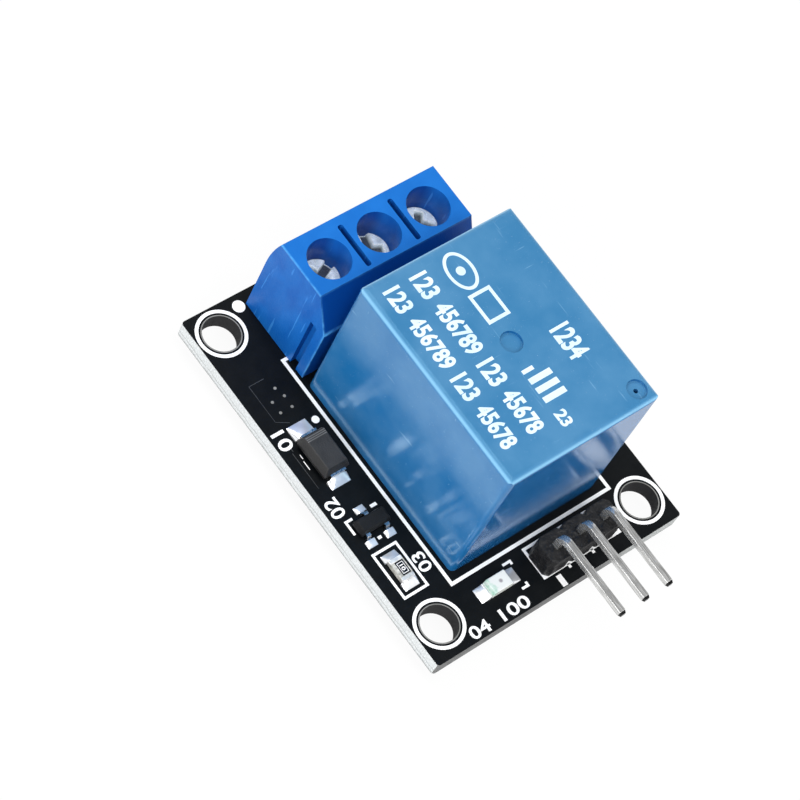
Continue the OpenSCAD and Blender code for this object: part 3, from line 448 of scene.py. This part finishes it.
# the solids that each finish covers
solidsOf = {
    "boardMask": "board",
    "caseBlue": "relay_case",
    "baseDark": "relay_base",
    "sealEpoxy": "relay_seal",
    "bobbinBlack": "coil_bobbin",
    "windingWire": "coil_winding",
    "relayIron": "coil_core relay_yoke armature",
    "pinTin": "coil_pins header_pin_1 header_pin_2 header_pin_3",
    "contactAlloy": "contact_spring common_strip closed_contact_blade open_contact_blade",
    "contactSilver": "moving_contact closed_contact_tip open_contact_tip",
    "terminalBlue": "terminal_housing",
    "headerBlack": "header_body",
    "chipBlack": "diode_body",
    "chipLeads": "diode_leads transistor_leads",
    "chipDark": "transistor_body",
    "resistorGlaze": "resistor_body",
    "capSilver": "resistor_ends",
    "indicatorWhite": "indicator_base",
    "solderBright": "indicator_ends board_solder lead_solder",
    "indicatorClear": "indicator_lens",
    "clampTin": "clamp_frame_1 clamp_frame_2 clamp_frame_3 wire_guard_1 wire_guard_2 wire_guard_3",
    "screwZinc": "clamp_screw_1 clamp_screw_2 clamp_screw_3",
}
nodeFinish = {name: finish for finish, names in solidsOf.items() for name in names.split()}
for name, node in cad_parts.items():
    for materialSlot in node.material_slots:
        materialSlot.material = finishes[nodeFinish[name]]


# edges of the solids

# radius of the rounded edges in millimetres
edgeRadii = {"terminal_housing": 0.14, "header_body": 0.05, "resistor_body": 0.03, "diode_body": 0.07,
             "transistor_body": 0.05, "indicator_lens": 0.08, "resistor_ends": 0.05, "indicator_base": 0.03,
             "indicator_ends": 0.05}
edgeRadii.update({f"clamp_frame_{n}": 0.06 for n in (1, 2, 3)})
edgeRadii.update({f"header_pin_{n}": 0.04 for n in (1, 2, 3)})


def roundEdges(node, radius):
    # joins the loose triangles, makes flat faces whole again and rounds the sharp edges
    weld = node.modifiers.new("weld", "WELD")
    weld.merge_threshold = 1e-6
    flat = node.modifiers.new("flat", "DECIMATE")
    flat.decimate_type = "DISSOLVE"
    flat.angle_limit = math.radians(0.5)
    bevel = node.modifiers.new("edges", "BEVEL")
    bevel.width = radius * mm
    bevel.segments = 2
    bevel.limit_method = "ANGLE"
    bevel.angle_limit = math.radians(35)


for name, radius in edgeRadii.items():
    roundEdges(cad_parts[name], radius)
print("edges rounded")


# meshes of printed lines, figures, solder and screws

def storeMesh(name, points, faces, finish, slot, body="root", smooth=False):
    # points in millimetres become a mesh of their own that rides on the body
    mesh = bpy.data.meshes.new(name)
    mesh.from_pydata((np.asarray(points) * mm).tolist(), [], [list(map(int, f)) for f in faces])
    mesh.validate()
    mesh.polygons.foreach_set("use_smooth", [smooth] * len(mesh.polygons))
    mesh.materials.append(finishes[finish])
    piece = bpy.data.objects.new(name, mesh)
    bpy.context.scene.collection.objects.link(piece)
    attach(piece, body)
    return piece


def boxOf(node):
    # the two corners of a solid's box in millimetres
    return [np.array(corner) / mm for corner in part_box(node)]


def joinShapes(shapes):
    points, faces, start = [], [], 0
    for shapePoints, shapeFaces in shapes:
        points.append(np.asarray(shapePoints, float))
        faces += [[int(i) + start for i in face] for face in shapeFaces]
        start += len(shapePoints)
    return np.concatenate(points), faces


def band(path, width, low, high, closed=False):
    # a flat line: the path is offset half the width to each side along its mitred normals,
    # and the four corners of the section are carried from point to point
    path = np.asarray(path, float)
    count = len(path)
    ahead = np.roll(path, -1, 0) - path
    if not closed:
        ahead[-1] = ahead[-2]
    ahead /= np.linalg.norm(ahead, axis=1)[:, None]
    behind = np.roll(ahead, 1, 0)
    if not closed:
        behind[0] = ahead[0]
    normal = np.stack([-(ahead + behind)[:, 1], (ahead + behind)[:, 0]], 1)
    normal /= (np.linalg.norm(normal, axis=1) ** 2 / 2)[:, None]
    left, right = path + normal * width / 2, path - normal * width / 2
    ring = [np.column_stack([side, np.full(count, z)]) for side, z in
            ((right, low), (right, high), (left, high), (left, low))]
    points = np.stack(ring, 1).reshape(-1, 3)
    steps = np.arange(count if closed else count - 1)[:, None]
    corner = np.arange(4)[None, :]
    a, b = steps * 4 + corner, steps * 4 + (corner + 1) % 4
    c, d = ((steps + 1) % count) * 4 + (corner + 1) % 4, ((steps + 1) % count) * 4 + corner
    faces = np.stack([a, d, c, b], -1).reshape(-1, 4).tolist()
    if not closed:
        last = (count - 1) * 4
        faces += [[0, 1, 2, 3], [last + 3, last + 2, last + 1, last]]
    return points, faces


def ringLine(centre, radius, width, low, high, count=72, stretch=1.0):
    turn = np.linspace(0, 2 * np.pi, count, endpoint=False)
    path = np.column_stack([centre[0] + radius * np.cos(turn), centre[1] + radius * stretch * np.sin(turn)])
    return band(path, width, low, high, closed=True)


def dot(centre, radius, low, high, count=40):
    # two circles of points joined by a wall and closed by a flat face each
    turn = np.linspace(0, 2 * np.pi, count, endpoint=False)
    circle = np.column_stack([centre[0] + radius * np.cos(turn), centre[1] + radius * np.sin(turn)])
    points = np.concatenate([np.column_stack([circle, np.full(count, z)]) for z in (low, high)])
    here, after = np.arange(count), (np.arange(count) + 1) % count
    faces = np.stack([here, after, after + count, here + count], 1).tolist()
    faces += [here[::-1].tolist(), (here + count).tolist()]
    return points, faces


def numberShape(word, centre, size, low, high, turn=0.0, weight=0.0):
    # the figures are stretched to size (along, up), turned in the plane and raised from low to high
    curve = bpy.data.curves.new("figures", "FONT")
    curve.body = word
    curve.offset = weight
    curve.extrude = 0.5
    curve.resolution_u = 4
    holder = bpy.data.objects.new("figures", curve)
    bpy.context.scene.collection.objects.link(holder)
    bpy.context.view_layer.update()
    mesh = bpy.data.meshes.new_from_object(holder)
    form = bmesh.new()
    form.from_mesh(mesh)
    bmesh.ops.remove_doubles(form, verts=form.verts, dist=1e-5)
    bmesh.ops.recalc_face_normals(form, faces=form.faces)
    points = np.array([v.co[:] for v in form.verts])
    faces = [[v.index for v in f.verts] for f in form.faces]
    form.free()
    bpy.data.objects.remove(holder)
    bpy.data.curves.remove(curve)
    bpy.data.meshes.remove(mesh)
    floor, ceiling = points.min(0), points.max(0)
    flat = (points[:, :2] - (floor + ceiling)[:2] / 2) / (ceiling - floor)[:2] * np.array(size)
    c, s = math.cos(math.radians(turn)), math.sin(math.radians(turn))
    flat = flat @ np.array([[c, s], [-s, c]]) + np.array(centre)
    return np.column_stack([flat, np.where(points[:, 2] > 0, high, low)]), faces


def loft(rings):
    # rings of equally many points joined ring to ring by four-sided faces, the two ends closed flat
    rings = np.asarray(rings, float)
    count, around = rings.shape[:2]
    step = np.arange(count - 1)[:, None] * around
    here = np.arange(around)[None, :]
    after = (here + 1) % around
    faces = np.stack([step + here, step + after, step + around + after, step + around + here], -1)
    faces = faces.reshape(-1, 4).tolist()
    faces += [list(range(around))[::-1], [(count - 1) * around + i for i in range(around)]]
    return rings.reshape(-1, 3), faces


# each part has the width, length and height of its pads; the diode's two pads differ in length
padLook = {"skin": 0.05, "crown": 2.6, "bulge": 0.10, "foot": 0.004, "legInset": 0.2,
           "diode": (1.98, 1.33, 0.73, 0.50), "transistor": (0.98, 0.60, 0.24), "resistor": (1.5, 0.68, 0.42),
           "indicator": (1.35, 0.78, 0.33)}


def solderPad(place, ahead, width, length, height):
    # across the pad: crown = (1 - |u| ^ 2.6) ^ 0.6; along it the height falls as (1 - v) ^ 1.6 from the part
    # to the pad's end, with a low swelling bulge * sin(pi v) ^ 0.8 on top; a flat foot closes every section
    ahead = np.array([*ahead, 0.0])
    aside = np.cross([0, 0, 1], ahead)
    u = np.sin(np.linspace(np.pi / 2, -np.pi / 2, 25))
    v = np.linspace(0, 1, 15)[:, None]
    crown = (1 - np.abs(u) ** padLook["crown"]) ** 0.6
    fall = (1 - v) ** 1.6
    top = padLook["skin"] * crown ** 0.3 + (height - padLook["skin"]) * fall * (0.35 + 0.65 * crown)
    top = top + padLook["bulge"] * np.sin(np.pi * v) ** 0.8 * crown * min(1.0, height * 2)
    half = width / 2 * (1 - 0.05 * v ** 3)
    low = boardTop - padLook["foot"]
    base = np.array([place[0], place[1], 0.0])
    along = ahead[None, None, :] * (v * length)[:, :, None]
    across = aside * (u[None, :] * half)[:, :, None]
    upper = base + along + across + np.array([0, 0, 1]) * (boardTop + top)[:, :, None]
    lower = base + along + across[:, ::-1] + np.array([0, 0, low])
    return loft(np.concatenate([lower, upper], 1))


def buildPadSolder():
    shapes = []
    low, high = boxOf("diode_leads")
    middle = (low + high) / 2
    width, back, front, height = padLook["diode"]
    shapes.append(solderPad((middle[0], high[1]), (0, 1), width, back, height))
    shapes.append(solderPad((middle[0], low[1]), (0, -1), width, front, height))
    low, high = boxOf("transistor_leads")
    middle = (low + high) / 2
    width, length, height = padLook["transistor"]
    shapes.append(solderPad((middle[0], high[1]), (0, 1), width, length, height))
    shapes += [solderPad((x, low[1]), (0, -1), width, length, height)
               for x in (low[0] + padLook["legInset"], high[0] - padLook["legInset"])]
    for name, aheads in (("resistor", ((0, 1), (0, -1))), ("indicator", ((1, 0), (-1, 0)))):
        low, high = boxOf(name + "_ends")
        middle, half = (low + high) / 2, (high - low) / 2
        width, length, height = padLook[name]
        shapes += [solderPad(middle[:2] + half[:2] * ahead, ahead, width, length, height)
                   for ahead in map(np.array, aheads)]
    piece = storeMesh("padSolder", *joinShapes(shapes), "solderBright", "solder", smooth=True)
    smoothByAngle(piece, 50)
    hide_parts("board_solder")


screwLook = {"head": 1.2, "shankRadius": 1.25, "dome": 0.28, "chamfer": 0.16, "recess": 0.62, "slot": 0.30,
             "arm": 0.26, "armReach": 1.12, "slope": 0.16, "pitch": 0.45, "thread": 0.14,
             "turns": (24.0, 71.0, -38.0)}


def screwShape(low, high, turn):
    # head: rings round the axis at height top - dome (r / R) ^ 2 - recess * cut, where cut goes smoothly
    # from 0 to 1 across the sloped walls of a slot and of a shorter arm across it; shank: radius falls by
    # thread * saw, a triangle wave of the height plus the turn, so that the crest winds round as one helix
    look = screwLook
    middle = (low + high) / 2
    radius = (high[0] - low[0]) / 2
    shankTop = high[2] - look["head"]
    turns = np.radians(np.linspace(360, 0, 144, endpoint=False))[None, :]
    r = np.concatenate([[0.02], np.linspace(0.07, radius - look["chamfer"], 56)])[:, None]
    x, y = r * np.cos(turns - math.radians(turn)), r * np.sin(turns - math.radians(turn))

    def wall(distance, half):
        step = np.clip((half + look["slope"] - np.abs(distance)) / look["slope"], 0, 1)
        return step * step * (3 - 2 * step)

    slot = wall(y, look["slot"])
    arm = wall(x, look["arm"]) * wall(y, look["armReach"])
    z = high[2] - look["dome"] * (r / radius) ** 2 - look["recess"] * np.maximum(slot, arm)
    edge = high[2] - look["dome"] * ((radius - look["chamfer"]) / radius) ** 2
    slotRim = wall(radius * np.sin(turns - math.radians(turn)), look["slot"])
    ringsTop = np.stack([r * np.cos(turns), r * np.sin(turns), z], -1)
    rim = np.stack([radius * np.cos(turns), radius * np.sin(turns),
                    edge - look["chamfer"] - look["recess"] * slotRim * 0.8], -1)
    skirt = np.stack([radius * np.cos(turns), radius * np.sin(turns), np.full_like(turns, shankTop)], -1)
    depth = np.linspace(0, 1, 90)[:, None]
    zs = shankTop + (low[2] - shankTop) * depth
    wave = ((zs - shankTop) / look["pitch"] + turns / (2 * np.pi)) % 1
    saw = np.abs(2 * wave - 1) * np.clip(depth * 12, 0, 1)
    rs = look["shankRadius"] - look["thread"] * saw - 0.25 * np.clip((depth - 0.93) / 0.07, 0, 1)
    shank = np.stack([rs * np.cos(turns), rs * np.sin(turns), zs + 0 * turns], -1)
    rings = np.concatenate([ringsTop, rim, skirt, shank]) + [middle[0], middle[1], 0]
    cut = np.maximum(slot, arm)
    # shares for the painted shade of the recess and the painted highlight along its rim
    shades = {"recess": np.zeros(rings.shape[:2]), "rim": np.zeros(rings.shape[:2])}
    shades["recess"][:len(r)] = np.clip(cut * 1.6 - 0.6, 0, 1)
    shades["rim"][:len(r)] = np.clip(1 - np.abs(cut - 0.12) / 0.14, 0, 1)
    return loft(rings), shades


def buildScrews():
    for n, turn in zip((1, 2, 3), screwLook["turns"]):
        shape, shades = screwShape(*boxOf(f"clamp_screw_{n}"), turn)
        piece = storeMesh(f"clampScrew{n}", *shape, "screwZinc", "screw_zinc", f"screw_{n}", True)
        for name, values in shades.items():
            piece.data.attributes.new(name, "FLOAT", "POINT").data.foreach_set("value", values.ravel())
        smoothByAngle(piece, 32)
        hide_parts(f"clamp_screw_{n}")


def smoothByAngle(piece, degrees):
    # faces that meet at less than the angle shade as one surface
    piece.data.set_sharp_from_angle(angle=math.radians(degrees))


buildPadSolder()
buildScrews()
print("solder and screws")


# line widths, heights, frames as (left, front, right, back) and short strokes as (points, width)
boardPrint = {"line": 0.3, "thin": 0.22, "header": 0.25, "low": boardTop - 0.01, "high": boardTop + 0.018,
              "ringRadius": 2.03, "relayFrame": (-7.72, -12.4, 9.1, 10.15),
              "resistorFrame": (-11.79, -11.43, -9.46, -7.24), "headerFrame": (-0.72, -15.85, 7.38, -13.05),
              "dots": (((-7.97, 15.9), 0.55), ((-8.58, 4.6), 0.335)),
              "strokes": (([(-11.3, -3.87), (-11.95, -3.87), (-11.95, -5.1)], 0.22),
                          ([(-9.35, -3.75), (-8.75, -3.75)], 0.28),
                          ([(-10.5, -6.25), (-10.15, -6.25)], 0.26),
                          ([(-3.1, -13.25), (-2.32, -13.25), (-2.32, -13.55)], 0.22),
                          ([(-2.95, -15.65), (-2.32, -15.65), (-2.32, -15.3)], 0.22),
                          ([(-11.68, 1.25), (-11.68, 2.1)], 0.07),
                          ([(-11.6, 2.3), (-11.6, 2.7)], 0.07))}


def rectangle(corners):
    x0, y0, x1, y1 = corners
    return [(x0, y0), (x1, y0), (x1, y1), (x0, y1)]


def fourHoles():
    return [(sx * holePlace[0], sy * holePlace[1]) for sx in (-1, 1) for sy in (-1, 1)]


def buildBoardPrint():
    look = boardPrint
    low, high = look["low"], look["high"]
    shapes = [ringLine(centre, look["ringRadius"], look["line"], low, high) for centre in fourHoles()]
    for frameName, width in (("relayFrame", "line"), ("resistorFrame", "thin"), ("headerFrame", "header")):
        shapes.append(band(rectangle(look[frameName]), look[width], low, high, True))
    shapes += [band([(x, -16.25), (x, -15.85)], look["header"], low, high) for x in (1.77, 4.31)]
    shapes += [dot(centre, radius, low, high) for centre, radius in look["dots"]]
    shapes += [band(path, width, low, high) for path, width in look["strokes"]]
    return storeMesh("boardPrint", *joinShapes(shapes), "printWhite", "indicator_white")


smallMarks = {"vias": ((-9.8, 8.47), (-10.75, 7.55), (-9.53, 7.55), (-10.72, 6.47), (-9.56, 6.47)),
              "viaRadius": 0.13, "rim": 1.665, "rimWidth": 0.09, "sink": 0.01, "rise": 0.006,
              "groove": 0.09, "grooveStep": 0.17, "grooveInset": 0.30, "grooveStart": 0.42,
              "grooveSink": 0.02, "grooveRise": 0.003,
              "traces": (([(-12.05, 3.1), (-12.05, -0.4)], 0.05), ([(-11.9, 3.6), (-11.9, 3.2)], 0.05),
                         ([(-10.1, 9.6), (-11.6, 9.6), (-11.6, 6.0), (-10.6, 5.4)], 0.04)),
              "figures": "10", "figureSize": (0.52, 0.34), "figureShift": (0.10, 0),
              "figureSink": 0.004, "figureRise": 0.003}


def buildSmallMarks():
    # grey rims of the drilled holes, small holes filled with mask, buried lines that show through it,
    # grooves along one end of the diode and the figures on the resistor
    look = smallMarks
    low, high = boardTop - look["sink"], boardTop + look["rise"]
    shapes = [ringLine(centre, look["rim"], look["rimWidth"], low, high) for centre in fourHoles()]
    shapes += [dot(place, look["viaRadius"], low, high + 0.01, 16) for place in look["vias"]]
    storeMesh("holeRims", *joinShapes(shapes), "rimGrey", "board_mask")
    lines = [band(path, width, low, high) for path, width in look["traces"]]
    storeMesh("buriedTraces", *joinShapes(lines), "traceGrey", "board_mask")
    left, right = boxOf("diode_body")
    ends = (left[0] + look["grooveInset"], right[0] - look["grooveInset"])
    rows = [right[1] - look["grooveStart"] - look["grooveStep"] * k for k in range(3)]
    low, high = right[2] - look["grooveSink"], right[2] + look["grooveRise"]
    grooves = [band([(x, y) for x in ends], look["groove"], low, high) for y in rows]
    storeMesh("diodeGrooves", *joinShapes(grooves), "chipEdge", "chip_black")
    left, right = boxOf("resistor_body")
    middle = (left + right)[:2] / 2 + look["figureShift"]
    low, high = right[2] - look["figureSink"], right[2] + look["figureRise"]
    figures = numberShape(look["figures"], middle, look["figureSize"], low, high, -90, 0.02)
    storeMesh("resistorNumber", *figures, "printWhite", "indicator_white")


boardNumbers = (  # figures, centre, size along and up, turn
    ("01", (-12.1, 4.35), (1.75, 1.25), 90), ("02", (-12.0, -2.45), (1.75, 1.25), 90),
    ("03", (-8.65, -9.65), (1.7, 1.15), 90), ("04", (-8.15, -16.6), (1.95, 1.1), 0),
    ("100", (-4.5, -16.6), (2.9, 1.1), 0), ("1", (0.4, -16.75), (0.5, 1.05), 0),
    ("2", (3.04, -16.75), (0.75, 1.05), 0), ("3", (5.58, -16.75), (0.75, 1.05), 0))


def buildBoardNumbers():
    shapes = [numberShape(word, centre, size, boardPrint["low"], boardPrint["high"], turn, 0.018)
              for word, centre, size, turn in boardNumbers]
    return storeMesh("boardNumbers", *joinShapes(shapes), "printWhite", "indicator_white")


# a ring with a dot, a square frame and three bars stand beside the figures
relayPrint = {"low": relayTop - 0.01, "high": relayTop + 0.006, "weight": 0.035, "ringCentre": (0.8, 4.8),
              "ringRadius": 1.08, "ringWidth": 0.28, "ringStretch": 1.5, "dotRadius": 0.4,
              "square": (0.0, 0.1, 1.9, 2.6), "squareWidth": 0.3, "barEnds": (-0.45, 1.75), "barWidth": 0.52,
              "barPlaces": (-5.5, -6.4, -7.3)}
relayNumbers = (  # figures, centre, size along and up
    ("123", (-2.52, 5.15), (2.2, 1.72)), ("456789", (-2.52, 0.93), (4.75, 1.72)),
    ("123", (-2.52, -3.38), (2.2, 1.72)), ("45678", (-2.52, -7.15), (3.85, 1.72)),
    ("123", (-5.17, 5.15), (2.2, 1.62)), ("456789", (-5.17, 0.93), (4.7, 1.62)),
    ("123", (-5.17, -3.35), (2.2, 1.62)), ("45678", (-5.17, -7.15), (3.85, 1.62)),
    ("1234", (4.7, -4.25), (3.0, 1.95)), ("1", (0.08, -4.6), (0.35, 1.1)), ("23", (0.0, -9.2), (1.35, 1.1)))


def buildRelayPrint():
    look = relayPrint
    low, high = look["low"], look["high"]
    shapes = [numberShape(word, centre, size, low, high, -90, look["weight"])
              for word, centre, size in relayNumbers]
    shapes.append(ringLine(look["ringCentre"], look["ringRadius"], look["ringWidth"], low, high, 72,
                           look["ringStretch"]))
    shapes.append(dot(look["ringCentre"], look["dotRadius"], low, high))
    shapes.append(band(rectangle(look["square"]), look["squareWidth"], low, high, True))
    shapes += [band([(x, y) for x in look["barEnds"]], look["barWidth"], low, high)
               for y in look["barPlaces"]]
    return storeMesh("relayPrint", *joinShapes(shapes), "printPale", "indicator_white")


buildBoardPrint()
buildSmallMarks()
buildBoardNumbers()
buildRelayPrint()
print("print and numbers")


# floor, light and camera

floorLook = {"half": 1.2, "height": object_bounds()[0][2], "colour": (0.86, 0.86, 0.86), "glow": 1.0, "own": 0.94}


def seenRays(tree):
    # 1 for what the camera, mirrors and clear pieces see, 0 for the light that falls on the board
    path = addNode(tree, "LightPath")
    indirect = reckon(tree, "MAXIMUM", path.outputs["Is Glossy Ray"], path.outputs["Is Transmission Ray"])
    return reckon(tree, "MAXIMUM", path.outputs["Is Camera Ray"], indirect)


def buildFloor():
    # white to the camera, and still shaded where the board's shadow falls
    half, z = floorLook["half"], float(floorLook["height"])
    mesh = bpy.data.meshes.new("floor")
    corners = [(x, y, z) for x, y in rectangle((-half, -half, half, half))]
    mesh.from_pydata(corners, [], [(0, 1, 2, 3)])
    floor = bpy.data.objects.new("floor", mesh)
    bpy.context.scene.collection.objects.link(floor)
    material, tree, shader = newFinish("floorWhite", floorLook["colour"], 0.9)
    shader.inputs["Specular IOR Level"].default_value = 0.0
    glow = addNode(tree, "Emission", {"Strength": floorLook["glow"]})
    seen = seenRays(tree)
    mix = addNode(tree, "MixShader")
    tree.links.new(reckon(tree, "MULTIPLY", seen, floorLook["own"]), mix.inputs[0])
    tree.links.new(shader.outputs[0], mix.inputs[1])
    tree.links.new(glow.outputs[0], mix.inputs[2])
    tree.links.new(mix.outputs[0], tree.nodes["Material Output"].inputs["Surface"])
    mesh.materials.append(material)


# each lamp has its place, width and power; the sky's strength runs from low down to high up
lightLook = {"key": ((0.02, 0.34, 0.50), 0.26, 1.1), "top": ((-0.08, -0.06, 0.60), 0.36, 1.2),
             "fill": ((-0.45, -0.25, 0.30), 0.30, 1.6), "front": ((0.04, -0.32, 0.46), 0.26, 0.9),
             "skyLow": 0.95, "skyHigh": 0.45, "ceiling": 0.35}


def buildLights():
    world = bpy.data.worlds.new("studio")
    bpy.context.scene.world = world
    world.use_nodes = True
    tree = world.node_tree
    background = tree.nodes["Background"]
    background.inputs["Color"].default_value = (1, 1, 1, 1)
    height = separate(tree, addNode(tree, "TexCoord").outputs["Generated"])[2]
    fade = addNode(tree, "MapRange", {"From Min": 0.05, "From Max": 0.45, "To Min": lightLook["skyLow"],
                                      "To Max": lightLook["skyHigh"]}, interpolation_type="SMOOTHSTEP")
    tree.links.new(height, fade.inputs["Value"])
    # the walls that are seen are white up to a dimmer ceiling
    seen = seenRays(tree)
    walls = addNode(tree, "MapRange", {"From Min": 0.45, "From Max": 0.80, "To Min": 1.0,
                                       "To Max": lightLook["ceiling"]}, interpolation_type="SMOOTHSTEP")
    tree.links.new(height, walls.inputs["Value"])
    either = addNode(tree, "Mix")
    tree.links.new(seen, either.inputs[0])
    tree.links.new(fade.outputs["Result"], either.inputs[2])
    tree.links.new(walls.outputs["Result"], either.inputs[3])
    tree.links.new(either.outputs[0], background.inputs["Strength"])
    for name in ("key", "top", "fill", "front"):
        place, size, power = lightLook[name]
        lamp = bpy.data.lights.new(name, "AREA")
        lamp.shape = "DISK"
        lamp.size = size
        lamp.energy = power
        holder = bpy.data.objects.new(name, lamp)
        holder.location = place
        holder.rotation_mode = "QUATERNION"
        holder.rotation_quaternion = (-Vector(place)).to_track_quat("-Z", "Y")
        bpy.context.scene.collection.objects.link(holder)


cameraLook = {"place": (-0.1262322, -0.0567806, 0.2148757),
              "turn": (0.9176815, 0.1904244, -0.2105985, -0.2779342),
              "lens": 143.383, "shift": (-0.0062764, 0.0009111), "clip": (0.01, 10)}


def buildCamera():
    camera = bpy.data.cameras.new("camera")
    camera.lens = cameraLook["lens"]
    camera.shift_x, camera.shift_y = cameraLook["shift"]
    camera.clip_start, camera.clip_end = cameraLook["clip"]
    holder = bpy.data.objects.new("camera", camera)
    holder.location = cameraLook["place"]
    holder.rotation_mode = "QUATERNION"
    holder.rotation_quaternion = cameraLook["turn"]
    bpy.context.scene.collection.objects.link(holder)
    bpy.context.scene.camera = holder


buildFloor()
buildLights()
buildCamera()
bpy.context.scene.view_settings.view_transform = "Standard"
print("floor, light and camera")
